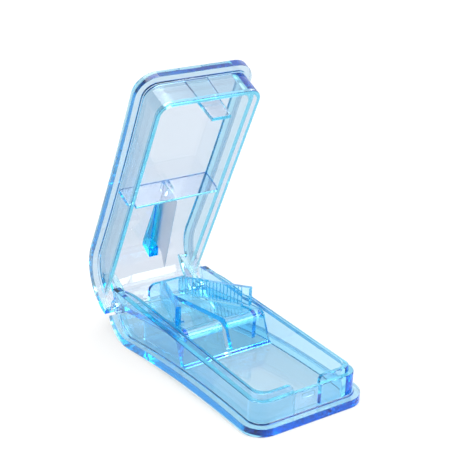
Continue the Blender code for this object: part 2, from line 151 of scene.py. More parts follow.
@dataclass(frozen=True)
class ClearPlastic:
    """Transparent tinted polystyrene, injection moulded and polished in the tool.

    The dye is given as the loss of red, green and blue in each millimetre of depth.
    """

    name: str
    surface: str = "E3EDFB"
    depth_loss: tuple[float, float, float] = (0.130, 0.020, 0.003)
    clearness: float = 1.0
    roughness: float = 0.03
    index: float = 1.50
    flow_mm: float = 9.0
    flow_height_mm: float = 0.012
    scuff_mm: float = 1.1

    def make(self) -> bpy.types.Material:
        """Build the material."""
        material, tree = empty_material(self.name)
        place = add_node(tree, "ShaderNodeTexCoord").outputs["Object"]
        # Melt flow leaves very shallow waves, drawn out along the case, that bend the reflections.
        drawn = add_node(tree, "ShaderNodeMapping", {"Scale": (1.0, 0.35, 0.6)}, {"Vector": place})
        waves = add_node(tree, "ShaderNodeTexNoise", {"Scale": 1 / (self.flow_mm * MM), "Detail": 2.0},
                         {"Vector": drawn.outputs["Vector"]})
        # Handling scuffs, about a millimetre apart, make the gloss slightly uneven.
        scuffs = add_node(tree, "ShaderNodeTexNoise", {"Scale": 1 / (self.scuff_mm * MM), "Detail": 4.0},
                          {"Vector": place})
        gloss = add_node(tree, "ShaderNodeMapRange",
                         {"From Min": 0.3, "From Max": 0.8, "To Min": self.roughness * 0.6,
                          "To Max": self.roughness * 1.8}, {"Value": scuffs.outputs["Fac"]})
        relief = add_node(tree, "ShaderNodeBump",
                          {"Strength": 0.5, "Distance": self.flow_height_mm * MM},
                          {"Height": waves.outputs["Fac"]})
        shader = add_node(tree, "ShaderNodeBsdfPrincipled",
                          {"Base Color": linear(self.surface), "IOR": self.index, "Metallic": 0.0,
                           "Transmission Weight": self.clearness},
                          {"Roughness": gloss.outputs["Result"], "Normal": relief.outputs["Normal"]})
        # The absorption node loses density * (1 - colour) per metre, so the density tops every loss.
        density = max(self.depth_loss) / MM * 1.1
        kept = [1.0 - loss / MM / density for loss in self.depth_loss]
        # The dye takes red light first, so thick edges turn a deep blue and thin panels stay pale.
        dye = add_node(tree, "ShaderNodeVolumeAbsorption", {"Color": (*kept, 1.0), "Density": density})
        add_node(tree, "ShaderNodeOutputMaterial", {}, {"Surface": shader.outputs["BSDF"],
                                                        "Volume": dye.outputs["Volume"]})
        return material


@dataclass(frozen=True)
class GroundSteel:
    """Hardened stainless strip, ground lengthwise."""

    name: str
    colour: str = "DDE1EA"
    roughness: float = 0.32
    line_mm: float = 0.25
    line_depth_mm: float = 0.01
    film_mm: float = 6.0
    grain_angle: float = math.radians(52.0)

    def make(self) -> bpy.types.Material:
        """Build the material."""
        material, tree = empty_material(self.name)
        place = add_node(tree, "ShaderNodeTexCoord").outputs["Object"]
        # Grinding lines run along the strip; real ones are finer, these are just wide enough to show.
        drawn = add_node(tree, "ShaderNodeMapping",
                         {"Rotation": (self.grain_angle, 0.0, 0.0), "Scale": (1.0, 0.03, 1.0)},
                         {"Vector": place})
        lines = add_node(tree, "ShaderNodeTexNoise", {"Scale": 1 / (self.line_mm * MM), "Detail": 3.0},
                         {"Vector": drawn.outputs["Vector"]})
        # A faint oil film dulls broad patches.
        film = add_node(tree, "ShaderNodeTexNoise", {"Scale": 1 / (self.film_mm * MM), "Detail": 2.0},
                        {"Vector": place})
        sheen = add_node(tree, "ShaderNodeMapRange",
                         {"To Min": self.roughness * 0.7, "To Max": self.roughness * 1.4},
                         {"Value": film.outputs["Fac"]})
        relief = add_node(tree, "ShaderNodeBump",
                          {"Strength": 0.25, "Distance": self.line_depth_mm * MM},
                          {"Height": lines.outputs["Fac"]})
        shader = add_node(tree, "ShaderNodeBsdfPrincipled",
                          {"Base Color": linear(self.colour), "Metallic": 1.0},
                          {"Roughness": sheen.outputs["Result"], "Normal": relief.outputs["Normal"]})
        add_node(tree, "ShaderNodeOutputMaterial", {}, {"Surface": shader.outputs["BSDF"]})
        return material


def arc(centre: Pair, radius: float, start: float, end: float, steps: int) -> Outline:
    """Points on an arc from one angle to another.

    Args:
        centre: Centre of the arc.
        radius: Its radius.
        start: First angle in radians.
        end: Last angle in radians.
        steps: Number of chords.

    Returns:
        The points, both ends included.
    """
    points = []
    for step in range(steps + 1):
        angle = start + (end - start) * step / steps
        points.append((centre[0] + radius * math.cos(angle), centre[1] + radius * math.sin(angle)))
    return points


@dataclass(frozen=True)
class Skin:
    """Outer surface of one shell in the side view: a shallow curve that ends in a round."""

    height: float
    linear_term: float
    square_term: float
    join: float
    radius: float
    end: float
    inward: int
    round_steps: int = 36

    def surface(self, y: float) -> float:
        """Height of the surface at y."""
        along = max(y, 0.0)
        return self.height + self.linear_term * along + self.square_term * along ** 2

    def slope(self, y: float) -> float:
        """Slope of the surface at y."""
        step = 0.01
        return (self.surface(y + step) - self.surface(y - step)) / (2 * step)

    @property
    def centre(self) -> Pair:
        """Centre of the round at the rear."""
        slope = self.slope(self.join)
        length = math.hypot(1.0, slope)
        return (self.join - self.inward * slope * self.radius / length,
                self.surface(self.join) + self.inward * self.radius / length)

    def points(self, inset: float, front: float) -> Outline:
        """Points along the surface, moved inwards.

        Args:
            inset: Depth below the outer surface.
            front: Y of the first point.

        Returns:
            Points from the front to the end of the round.
        """
        points = []
        steps = 24
        for step in range(steps + 1):
            y = front + (self.join - front) * step / steps
            slope = self.slope(y)
            length = math.hypot(1.0, slope)
            points.append((y - self.inward * slope * inset / length,
                           self.surface(y) + self.inward * inset / length))
        centre = self.centre
        start = math.atan2(self.surface(self.join) - centre[1], self.join - centre[0])
        return points + arc(centre, self.radius - inset, start, self.end, self.round_steps)[1:]


@dataclass(frozen=True)
class CaseForm:
    """Sizes that both shells share, in millimetres of the case frame."""

    wall_half: float = 16.9
    flange_out: float = 2.2
    flange_thick: float = 2.5
    skin: float = 1.6
    corner: float = 4.2
    hollow_corner: float = 3.4
    lip_half: float = 15.4
    ledge_z: float = 9.0
    lip_z: float = 10.7
    hinge: Pair = (76.1, 3.0)
    boss_radius: float = 2.3
    open_angle: float = math.radians(65.2)
    base_skin: Skin = Skin(0.0, 0.027, -0.0016, 63.9, 11.0, math.radians(-27.4), 1)
    lid_skin: Skin = Skin(20.45, -0.0416, 0.00054, 65.1, 14.1, math.radians(-9.0), -1)
    flange_round: float = 0.55
    wall_round: float = 0.3
    hollow_round: float = 0.8
    fillet_leg: float = 0.45
    foot_shave: float = 0.12
    front_foot: float = -2.0

    @property
    def setback(self) -> float:
        """Step from the wall's outer face to the lip."""
        return self.wall_half - self.lip_half

    def standing(self) -> Matrix:
        """Matrix from the case frame, in metres, to the table."""
        heel = self.base_skin.centre
        rise = heel[1] - self.base_skin.surface(self.front_foot)
        run = heel[0] - self.front_foot
        tilt = math.asin(self.base_skin.radius / math.hypot(rise, run)) - math.atan2(rise, run)
        turn = Matrix.Rotation(tilt, 4, "X")
        middle = turn @ Vector((0.0, heel[0], heel[1]))
        drop = self.base_skin.radius - self.foot_shave
        return Matrix.Translation(Vector((0.0, -middle.y, drop - middle.z)) * MM) @ turn

    def opened(self) -> Matrix:
        """Matrix from the closed lid's case frame, in metres, to the open lid on the table."""
        pivot = Vector((0.0, self.hinge[0], self.hinge[1])) * MM
        swing = Matrix.Rotation(-self.open_angle, 4, "X")
        return self.standing() @ Matrix.Translation(pivot) @ swing @ Matrix.Translation(-pivot)


@dataclass
class Solid:
    """A closed mesh under construction, in metres of the case frame."""

    item: bpy.types.Object

    @classmethod
    def between(cls, name: str, low: list[tuple], high: list[tuple]) -> "Solid":
        """Close a body between two matching loops of points in millimetres.

        Args:
            name: Name of the new object.
            low: First loop.
            high: Second loop, with as many points.

        Returns:
            The new solid.
        """
        body = bmesh.new()
        first = [body.verts.new(Vector(point) * MM) for point in low]
        last = [body.verts.new(Vector(point) * MM) for point in high]
        body.faces.new(first)
        body.faces.new(last)
        for index in range(len(first)):
            after = (index + 1) % len(first)
            body.faces.new((first[index], first[after], last[after], last[index]))
        bmesh.ops.recalc_face_normals(body, faces=body.faces)
        mesh = bpy.data.meshes.new(name)
        body.to_mesh(mesh)
        body.free()
        item = bpy.data.objects.new(name, mesh)
        bpy.context.collection.objects.link(item)
        return cls(item)

    @classmethod
    def across(cls, name: str, outline: Outline, x_from: float, x_to: float) -> "Solid":
        """Extrude an outline of (y, z) points across the case."""
        low, high = ([(x, y, z) for y, z in outline] for x in (x_from, x_to))
        return cls.between(name, low, high)

    @classmethod
    def upright(cls, name: str, outline: Outline, z_from: float, z_to: float) -> "Solid":
        """Extrude an outline of (x, y) points upwards."""
        low, high = ([(x, y, z) for x, y in outline] for z in (z_from, z_to))
        return cls.between(name, low, high)

    @classmethod
    def facing(cls, name: str, outline: Outline, y_from: float, y_to: float) -> "Solid":
        """Extrude an outline of (x, z) points rearwards."""
        low, high = ([(x, y, z) for x, z in outline] for y in (y_from, y_to))
        return cls.between(name, low, high)

    @classmethod
    def block(cls, name: str, x: Pair, y: Pair, z: Pair) -> "Solid":
        """Make a box from its spans."""
        return cls.across(name, [(y[0], z[0]), (y[1], z[0]), (y[1], z[1]), (y[0], z[1])], x[0], x[1])

    @classmethod
    def rod(cls, name: str, centre: Pair, radius: float, x: Pair, steps: int = 48) -> "Solid":
        """Make a cylinder that lies across the case."""
        return cls.across(name, arc(centre, radius, 0.0, 2 * math.pi, steps)[:-1], x[0], x[1])

    def soften(self, radius: float, segments: int = 3, above: float = SHARP) -> "Solid":
        """Round every edge that turns more than an angle.

        Args:
            radius: Radius of the round in millimetres.
            segments: Number of steps in the round.
            above: Smallest angle of an edge that is rounded.

        Returns:
            The same solid.
        """
        body = bmesh.new()
        body.from_mesh(self.item.data)
        edges = [edge for edge in body.edges if edge.calc_face_angle(0.0) > above]
        bmesh.ops.bevel(body, geom=edges, offset=radius * MM, segments=segments, profile=0.5,
                        affect="EDGES", clamp_overlap=True)
        body.to_mesh(self.item.data)
        body.free()
        return self

    def join(self, tool: "Solid", how: Join) -> "Solid":
        """Combine with another solid, which is used up.

        Args:
            tool: The other solid.
            how: Add it, cut it away, or keep only what lies in both.

        Returns:
            The same solid.
        """
        modifier = self.item.modifiers.new(how.name, "BOOLEAN")
        modifier.operation = how.value
        modifier.solver = "EXACT"
        modifier.object = tool.item
        depsgraph = bpy.context.evaluated_depsgraph_get()
        mesh = bpy.data.meshes.new_from_object(self.item.evaluated_get(depsgraph))
        self.item.modifiers.clear()
        self.item.data = mesh
        if self.open_edges():
            LOG.warning("%s is open after %s %s", self.item.name, how.name, tool.item.name)
        bpy.data.objects.remove(tool.item, do_unlink=True)
        return self

    def open_edges(self) -> int:
        """Number of edges without a face on both sides."""
        body = bmesh.new()
        body.from_mesh(self.item.data)
        count = sum(1 for edge in body.edges if len(edge.link_faces) != 2)
        body.free()
        return count

    def finish(self, name: str, place: Matrix, material: bpy.types.Material, slot: str, body: str,
               nodes: tuple[str, ...]) -> bpy.types.Object:
        """Set the solid in place as a piece of the object.

        Args:
            name: Name of the piece.
            place: Matrix from the case frame to the table.
            material: Its finish.
            slot: Material slot of the record that it takes; not used.
            body: Body that it rides on.
            nodes: Solids of the frame that it stands for.

        Returns:
            The finished object.
        """
        mesh = self.item.data
        mesh.transform(place)
        mesh.materials.clear()
        mesh.materials.append(material)
        mesh.shade_smooth()
        mesh.set_sharp_from_angle(angle=SHARP)
        self.item.name = name
        normals = self.item.modifiers.new("even_normals", "WEIGHTED_NORMAL")
        normals.keep_sharp = True
        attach(self.item, body)
        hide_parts(*nodes)
        LOG.info("%s: %d faces", name, len(mesh.polygons))
        return self.item


@dataclass
class Shell:
    """What the base and the lid have in common."""

    form: CaseForm

    def tub(self, half: float, front: float, corner: float, steps: int = 10) -> Outline:
        """Plan outline with two round front corners, running out past the rear.

        Args:
            half: Half width.
            front: Y of the front edge.
            corner: Radius of the corners.
            steps: Chords in each corner.

        Returns:
            Points of (x, y).
        """
        left = arc((-half + corner, front + corner), corner, math.pi, 1.5 * math.pi, steps)
        right = arc((half - corner, front + corner), corner, 1.5 * math.pi, 2 * math.pi, steps)
        return left + right + [(half, FAR_REAR), (-half, FAR_REAR)]

    def within(self, solid: Solid, half: float, front: float, corner: float) -> Solid:
        """Keep what lies inside a plan outline."""
        return solid.join(Solid.upright("keeper", self.tub(half, front, corner), *KEEPER_Z), Join.KEEP)

    def trimmed(self, name: str, outline: Outline, half: float, front: float, corner: float) -> Solid:
        """Extrude a side outline across the case and trim it to a plan.

        Args:
            name: Name of the solid.
            outline: Points of (y, z).
            half: Half width of the plan.
            front: Y of its front edge.
            corner: Radius of its front corners.

        Returns:
            The trimmed solid.
        """
        return self.within(Solid.across(name, outline, -half - SPARE, half + SPARE), half, front, corner)

    def flange(self, name: str, skin: Skin) -> Solid:
        """Plate along a skin, with rounded edges."""
        form = self.form
        half = form.wall_half + form.flange_out
        front = -form.flange_out
        outline = skin.points(0.0, front) + skin.points(form.flange_thick, front)[::-1]
        plate = self.trimmed(name, outline, half, front, form.corner + form.flange_out)
        return plate.soften(form.flange_round, 4)

    def root_fillet(self, skin: Skin) -> Solid:
        """Small fillet where the walls stand on the flange."""
        form, leg = self.form, self.form.fillet_leg
        outline = skin.points(form.flange_thick - 0.7, -leg)
        outline += skin.points(form.flange_thick + leg, -leg)[::-1]
        band = Solid.across("root", outline, -form.wall_half - 2.0, form.wall_half + 2.0)
        return self.within(band, form.wall_half + leg, -leg, form.corner + leg).soften(leg * 0.9, 1)


@dataclass
class BaseShell(Shell):
    """Lower shell: flanged bottom, walls with a lip, hinge cheeks and a latch pocket."""

    inner_half: float = 14.5
    inner_front: float = 2.5
    ear_from: float = math.radians(-20.0)
    ear_angle: float = math.radians(78.0)
    ear_start: float = 62.0
    ear_tip_z: float = 7.1
    lip_foot: float = 4.0
    arm_room: float = 2.7
    pin_hole: float = 1.5
    pocket_half: float = 4.3
    pocket_front: float = 1.2
    pocket_floor: float = 2.3
    pocket_flare: float = 1.7
    catch: tuple[float, float, float, float] = (2.0, 0.3, 7.6, 1.3)

    def walls(self) -> Solid:
        """Outer walls up to the ledge, with the ears round the hinge."""
        form = self.form
        hinge = form.hinge
        ear = arc(hinge, form.boss_radius, self.ear_from, self.ear_angle, 16)
        ear += arc(hinge, form.ledge_z - hinge[1], self.ear_angle, math.pi / 2, 4)
        outline = form.base_skin.points(OVERLAP, 0.0) + ear + [(0.0, form.ledge_z)]
        return self.trimmed("walls", outline, form.wall_half, 0.0, form.corner).soften(form.wall_round)

    def lip(self) -> Solid:
        """Thin lip that stands inside the closed lid."""
        form = self.form
        crown, steps = [], 16
        for step in range(steps + 1):
            angle = math.pi / 2 * step / steps
            y = self.ear_start + (form.hinge[0] - self.ear_start) * math.sin(angle)
            crown.append((y, self.ear_tip_z + (form.lip_z - self.ear_tip_z) * math.cos(angle)))
        outline = [(form.setback, self.lip_foot), (form.setback, form.lip_z)] + crown
        outline.append((form.hinge[0] - 8.0, self.lip_foot))
        lip = self.trimmed("lip", outline, form.lip_half, form.setback, form.corner - form.setback)
        return lip.soften(form.wall_round)

    def hollow(self) -> Solid:
        """Space inside the shell, with rounded floor edges."""
        floor = self.form.base_skin.points(self.form.skin, self.inner_front)
        behind = FAR_REAR - 5.0
        outline = floor + [(behind, floor[-1][1] - 7.0), (behind, FAR_HIGH), (self.inner_front, FAR_HIGH)]
        space = self.trimmed("hollow", outline, self.inner_half, self.inner_front, self.form.hollow_corner)
        return space.soften(self.form.hollow_round, 4)

    def pocket(self) -> Solid:
        """Latch pocket whose top flares into the rounded ends of the lip."""
        half, flare = self.pocket_half, self.pocket_flare
        top = self.form.lip_z
        right = arc((half + flare, top - flare), flare, math.pi, math.pi / 2, 8)
        left = [(-x, z) for x, z in reversed(right)]
        low = [(-half, self.pocket_floor), (half, self.pocket_floor)]
        outline = low + right + [(half + flare, top + 6.0), (-half - flare, top + 6.0)] + left
        return Solid.facing("pocket", outline, self.pocket_front, self.inner_front + 0.6)

    def build(self, finish: ClearPlastic) -> None:
        """Build and dress the shell."""
        form = self.form
        base = self.flange("base", form.base_skin)
        base.join(self.root_fillet(form.base_skin), Join.ADD)
        base.join(self.walls(), Join.ADD)
        base.join(self.lip(), Join.ADD)
        base.join(self.hollow(), Join.CUT)
        room = (-self.inner_half, self.inner_half)
        base.join(Solid.rod("arm_room", form.hinge, self.arm_room, room), Join.CUT)
        through = (-form.wall_half - 4.0, form.wall_half + 4.0)
        base.join(Solid.rod("pin_holes", form.hinge, self.pin_hole, through, 32), Join.CUT)
        base.join(self.pocket(), Join.CUT)
        half, proud, top, height = self.catch
        ledge = Solid.block("catch", (-half, half), (self.pocket_front - OVERLAP, self.pocket_front + proud),
                            (top - height, top)).soften(0.12, 2)
        base.join(ledge, Join.ADD)
        # The heel is shaved flat where the case stands, so it does not rock on a single line.
        table = Solid.block("table", (-FAR_SIDE, FAR_SIDE), TABLE_Y, TABLE_Z)
        table.item.data.transform(form.standing().inverted())
        base.join(table, Join.CUT)
        base.finish("base_shell_moulding", form.standing(), finish.make(), "base_plastic", "base",
                    ("base_shell",))


@dataclass
class LidShell(Shell):
    """Upper shell: flanged top, rebated walls, latch tongue, stop rib, blade lugs and hinge arms."""

    inner_half: float = 14.4
    inner_front: float = 2.4
    tongue_half: float = 3.7
    tongue_taper: float = 0.6
    tongue_y: Pair = (1.8, 3.1)
    tongue_tip: float = 3.3
    rib_y: Pair = (39.7, 40.7)
    rib_low: float = 10.1
    rib_low_half: float = 14.1
    lug_rear: float = 43.6
    lug_low: float = 14.8
    lug_x: Pair = (0.45, 1.25)
    arm_x: Pair = (11.9, 13.9)
    arm_front: Pair = (73.2, 14.4)
    root_half: float = 14.8
    root_top: float = 13.8
    pin_radius: float = 1.2
    ear_front: float = 60.0

    @property
    def rim(self) -> float:
        """Height of the closed lid's rim."""
        return self.form.ledge_z + GAP

    @property
    def shoulder(self) -> float:
        """Height of the rebate over the base's lip."""
        return self.form.lip_z + GAP + 0.02

    def rear_skin(self, below: float) -> Outline:
        """Inner skin of the round at the rear, below a height."""
        skin = self.form.lid_skin
        centre = skin.centre
        inner = skin.points(self.form.skin, 0.0)
        return [point for point in inner if point[0] > centre[0] and point[1] < below]

    def walls(self) -> Solid:
        """Outer walls from the top down to the rim."""
        form = self.form
        skin = [point for point in form.lid_skin.points(OVERLAP, 0.0) if point[1] > self.rim]
        outline = skin + [(skin[-1][0], self.rim), (0.0, self.rim)]
        return self.trimmed("walls", outline, form.wall_half, 0.0, form.corner).soften(form.wall_round)

    def hollow(self) -> Solid:
        """Space inside the lid, with rounded roof edges."""
        roof = self.form.lid_skin.points(self.form.skin, self.inner_front)
        outline = roof + [(roof[-1][0], FAR_LOW), (self.inner_front, FAR_LOW)]
        space = self.trimmed("hollow", outline, self.inner_half, self.inner_front, self.form.hollow_corner)
        return space.soften(self.form.hollow_round, 4)

    def rebate(self) -> Solid:
        """Step inside the rim that takes the base's lip."""
        form = self.form
        half = form.lip_half + GAP
        setback = form.wall_half - half
        rear = self.rear_skin(self.shoulder)
        outline = [(setback, FAR_LOW), (setback, self.shoulder), (rear[0][0], self.shoulder)] + rear
        outline.append((rear[-1][0], FAR_LOW))
        return self.trimmed("rebate", outline, half, setback, form.corner - setback).soften(0.2, 2)

    def ear_room(self) -> Solid:
        """Space behind the walls in which the base's ears turn."""
        half = self.form.wall_half + GAP
        low = self.rear_skin(self.rim)
        outline = [(self.ear_front, FAR_LOW), (self.ear_front, self.rim), (low[0][0], self.rim)] + low
        outline.append((low[-1][0], FAR_LOW))
        return Solid.across("ear_room", outline, -half, half)

    def stop_rib(self) -> Solid:
        """Cross rib just ahead of the blade."""
        roof = self.form.lid_skin.surface(self.rib_y[0]) - self.form.skin + DEEP_OVERLAP
        step = self.shoulder + DEEP_OVERLAP
        low, high = self.rib_low_half, self.inner_half + DEEP_OVERLAP
        right = [(low, self.rib_low), (low, step), (high, step), (high, roof)]
        left = [(-x, z) for x, z in reversed(right)]
        return Solid.facing("stop_rib", right + left, *self.rib_y).soften(0.2, 2)

    def tongue(self) -> Solid:
        """Latch tongue that hangs from the roof at the front."""
        form, half = self.form, self.tongue_half
        tip = half - self.tongue_taper
        roof = form.lid_skin.surface(self.tongue_y[1]) - form.skin + DEEP_OVERLAP
        outline = [(-tip, self.tongue_tip), (tip, self.tongue_tip), (half, roof), (-half, roof)]
        return Solid.facing("tongue", outline, *self.tongue_y).soften(0.25, 2)

    def lug(self, side: Side) -> Solid:
        """Lug beside the blade's front end."""
        top = self.form.lid_skin.surface(self.lug_rear) - self.form.skin + DEEP_OVERLAP
        return Solid.block("lug", side.span(*self.lug_x), (self.rib_y[1] - OVERLAP, self.lug_rear),
                           (self.lug_low, top))

    def arm(self, side: Side) -> Solid:
        """Hinge arm with its root and its pin."""
        form = self.form
        centre = form.lid_skin.centre
        inside, outside = self.arm_x
        front = self.arm_front[0]
        outline = arc(form.hinge, form.boss_radius, math.radians(-175.0), math.radians(5.0), 24)
        outline += arc(centre, form.lid_skin.radius - form.skin / 2, math.radians(-5.0), math.radians(50.0),
                       12)
        outline.append(self.arm_front)
        arm = Solid.across("arm", outline, *side.span(inside, outside)).soften(0.25, 2)
        low = self.shoulder + 0.5
        root = [(front + 0.5, low), (centre[0] + 11.8, low), (centre[0] + 10.2, self.root_top),
                (front - 0.3, self.root_top)]
        arm.join(Solid.across("root", root, *side.span(inside + 0.3, self.root_half)), Join.ADD)
        reach = side.span(outside - 0.5, form.wall_half - 0.1)
        return arm.join(Solid.rod("pin", form.hinge, self.pin_radius, reach, 32).soften(0.2, 2), Join.ADD)

    def build(self, finish: ClearPlastic) -> None:
        """Build and dress the shell."""
        form = self.form
        lid = self.flange("lid", form.lid_skin)
        root = self.root_fillet(form.lid_skin)
        above = Solid.block("above", (-FAR_SIDE, FAR_SIDE), (-10.0, 100.0), (self.rim + 0.2, 40.0))
        root.join(above, Join.KEEP)
        lid.join(root, Join.ADD)
        lid.join(self.walls(), Join.ADD)
        lid.join(self.hollow(), Join.CUT)
        lid.join(self.rebate(), Join.CUT)
        lid.join(self.ear_room(), Join.CUT)
        boss = (-form.wall_half - GAP, form.wall_half + GAP)
        lid.join(Solid.rod("boss_room", form.hinge, form.boss_radius + GAP, boss), Join.CUT)
        lid.join(self.tongue(), Join.ADD)
        lid.join(self.stop_rib(), Join.ADD)
        for side in Side:
            lid.join(self.lug(side), Join.ADD)
            lid.join(self.arm(side), Join.ADD)
        lid.finish("lid_shell_moulding", form.opened(), finish.make(), "lid_plastic", "lid", ("lid_shell",))


@dataclass
class PillSeat:
    """Insert on which the pill lies: a sloped deck with a leaning front and a slot for the blade."""

    form: CaseForm
    half: float = 14.2
    front: float = 42.5
    front_z: float = 9.85
    rear: float = 71.5
    slope: float = -0.16
    thick: float = 1.8
    foot_y: float = 37.4
    skirt_y: Pair = (43.0, 63.0)
    skirt_x: Pair = (11.2, 12.4)
    slot_half: float = 1.0
    slot_low: float = 1.1
    toe_run: float = 0.8
    panel_half: float = 7.2
    panel_top: float = 10.2
    panel_corner: float = 2.2
    panel_thick: float = 0.9

    def deck(self, y: float) -> float:
        """Height of the deck at y."""
        return self.front_z + self.slope * (y - self.front)

    def build(self, finish: ClearPlastic) -> None:
        """Build and dress the seat."""
        lift = self.form.skin + GAP
        skin = self.form.base_skin
        foot = skin.surface(self.foot_y) + lift
        toe_y = self.foot_y - self.toe_run
        toe = skin.surface(toe_y) + lift
        front, high = self.front, self.front_z
        face = [(self.foot_y - 0.3, foot + 0.7), (self.foot_y + 0.4, foot + 1.6), (front - 2.5, high - 2.9),
                (front - 2.1, high - 1.5), (front - 1.4, high - 0.6), (front - 0.3, high - 0.1)]
        deck = [(front + 1.0, self.deck(front + 1.0)), (self.rear, self.deck(self.rear))]
        under = [(self.rear, self.deck(self.rear) - self.thick), (front + 1.6, high - self.thick - 0.2)]
        under += [(front - 0.9, high - 3.2), (self.foot_y + 1.9, foot + 0.9)]
        under += [(self.foot_y + 1.7, foot), (toe_y, toe)]
        outline = [(toe_y, toe + 0.5)] + face + deck + under
        seat = Solid.across("seat", outline, -self.half, self.half).soften(0.15, 2, BLUNT)
        for side in Side:
            low = [(y, skin.surface(y) + lift) for y in self.skirt_y]
            top = [(y, self.deck(y) - 0.4) for y in reversed(self.skirt_y)]
            seat.join(Solid.across("skirt", low + top, *side.span(*self.skirt_x)), Join.ADD)
        seat.join(self.panel(), Join.ADD)
        slot_y = (self.foot_y - 4.0, self.rear - 1.0)
        slot_z = (foot + self.slot_low, 14.0)
        seat.join(Solid.block("slot", (-self.slot_half, self.slot_half), slot_y, slot_z), Join.CUT)
        seat.finish("pill_seat_moulding", self.form.standing(), finish.make(), "seat_plastic", "base",
                    ("pill_seat",))

    def panel(self) -> Solid:
        """Back panel with rounded upper corners."""
        corner, half = self.panel_corner, self.panel_half
        middle = half - corner
        bottom = self.deck(self.rear) - self.thick
        right = arc((middle, self.panel_top - corner), corner, 0.0, math.pi / 2, 10)
        left = [(-x, z) for x, z in reversed(right)]
        outline = [(-half, bottom), (half, bottom)] + right + left
        span = (self.rear - OVERLAP, self.rear + self.panel_thick)
        return Solid.facing("panel", outline, *span).soften(0.15, 2)


@dataclass
class Fence:
    """One wall of the V that centres the pill, ribbed on its inner face."""

    form: CaseForm
    seat: PillSeat
    side: Side
    rear: Vector = field(default_factory=lambda: Vector((3.2, 70.7)))
    front: Vector = field(default_factory=lambda: Vector((12.7, 46.0)))
    thick: float = 1.3
    top_front: float = 15.6
    top_slope: float = -0.185
    foot_width: float = 1.7
    foot_height: float = 0.5
    rib_pitch: float = 1.3
    rib_proud: float = 0.35

    def prism(self, name: str, plan: list[Vector], low: float,
              top: Callable[[float], float]) -> Solid:
        """Raise a plan from the deck to a top that may slope.

        Args:
            name: Name of the solid.
            plan: Corners in plan.
            low: Clearance above the deck.
            top: Height of the top at y.

        Returns:
            The solid.
        """
        sign = self.side.value
        lower = [(sign * point.x, point.y, self.seat.deck(point.y) + low) for point in plan]
        upper = [(sign * point.x, point.y, top(point.y)) for point in plan]
        return Solid.between(name, lower, upper)

    def build(self, finish: ClearPlastic) -> None:
        """Build and dress the fence."""
        along = (self.rear - self.front).normalized()
        inward = Vector((-along.y, along.x))
        length = (self.rear - self.front).length
        face = self.front + inward * (self.thick / 2)
        outer = -inward * (self.thick / 2)
        plan = [self.front + outer, self.rear + outer, self.rear + inward * (self.thick / 2)]
        for index in range(int((length - 2.4) / self.rib_pitch)):
            start = length - 0.6 - index * self.rib_pitch
            for share, proud in ((0.0, 1.0), (0.76, 1.0), (0.82, 0.0), (0.92, 0.0)):
                place = start - self.rib_pitch * share
                plan.append(face + along * place + inward * self.rib_proud * proud)
        post = face + inward * self.rib_proud
        plan += [post + along * 1.2, post]
        fence = self.prism("fence", plan, GAP,
                           lambda y: self.top_front + self.top_slope * (y - self.front.y))
        reach = inward * (self.thick / 2 + self.foot_width)
        near, far = self.front + along * 2.0, self.rear - along * 6.0
        foot = self.prism("foot", [near, far, far + reach, near + reach], GAP + 0.02,
                          lambda y: self.seat.deck(y) + GAP + self.foot_height)
        fence.join(foot, Join.ADD)
        name = "fence_" + self.side.name.lower()
        fence.finish(name + "_moulding", self.form.standing(), finish.make(), "fence_plastic", "base",
                     (name,))


@dataclass
class BladeUnit:
    """Steel blade under the lid and the thick clamp that holds its back."""

    form: CaseForm
    seat: PillSeat
    thick: float = 0.3
    front: float = 41.05
    top: float = 17.7
    edge_dip: float = 0.15
    tip_y: float = 66.3
    rear: float = 62.7
    bevel_width: float = 0.9
    clamp_half: float = 1.7
    clamp_y: Pair = (48.6, 67.4)
    clamp_low: tuple[Pair, ...] = ((48.6, 17.0), (65.6, 13.4), (68.0, 12.4))

    def blade(self, finish: GroundSteel) -> None:
        """Plate whose lower edge is ground to a wedge."""
        half, rear = self.thick / 2, self.rear
        # Half the flat that is left on the cutting edge.
        land = 0.02
        edge_front = self.seat.deck(self.front) - self.edge_dip
        edge_rear = self.seat.deck(self.tip_y) - self.edge_dip
        outline = [(self.front, edge_front), (self.tip_y, edge_rear), (rear, edge_rear + 3.8),
                   (rear, self.top), (self.front, self.top)]
        blade = Solid.across("blade", outline, -half, half)
        slope = Vector((self.tip_y - self.front, edge_rear - edge_front)).normalized()
        up = Vector((-slope.y, slope.x))
        for side in Side:
            sign = side.value
            wedge = []
            for y in (self.front - 3.0, self.tip_y + 3.0):
                low = edge_front + (y - self.front) * slope.y / slope.x
                shoulder = (sign * (half + land), y + up.x * self.bevel_width, low + up.y * self.bevel_width)
                wedge.append([(sign * land, y, low - land), shoulder,
                              (sign * (half + 1.0), y, low + self.bevel_width),
                              (sign * (half + 1.0), y, low - 1.0), (sign * land, y, low - 1.0)])
            blade.join(Solid.between("grind", wedge[0], wedge[1]), Join.CUT)
        blade.finish("blade_strip", self.form.opened(), finish.make(), "blade_steel", "lid", ("blade",))

    def clamp(self, finish: ClearPlastic) -> None:
        """Block over the blade's back, slotted for it."""
        skin = self.form.lid_skin
        front, rear = self.clamp_y
        high = []
        for step in range(9):
            y = rear + (front - rear) * step / 8
            behind = max(y - skin.centre[0], 0.0)
            high.append((y, skin.surface(min(y, skin.join)) - self.form.skin - GAP - 0.05 - behind * 0.2))
        outline = list(self.clamp_low) + high
        clamp = Solid.across("clamp", outline, -self.clamp_half, self.clamp_half).soften(0.3, 3, BLUNT)
        half = self.thick / 2 + GAP
        slot = Solid.block("slot", (-half, half), (front - 2.0, self.rear + GAP), (5.0, self.top + GAP))
        clamp.join(slot, Join.CUT)
        clamp.finish("blade_clamp_moulding", self.form.opened(), finish.make(), "clamp_plastic", "lid",
                     ("blade_clamp",))


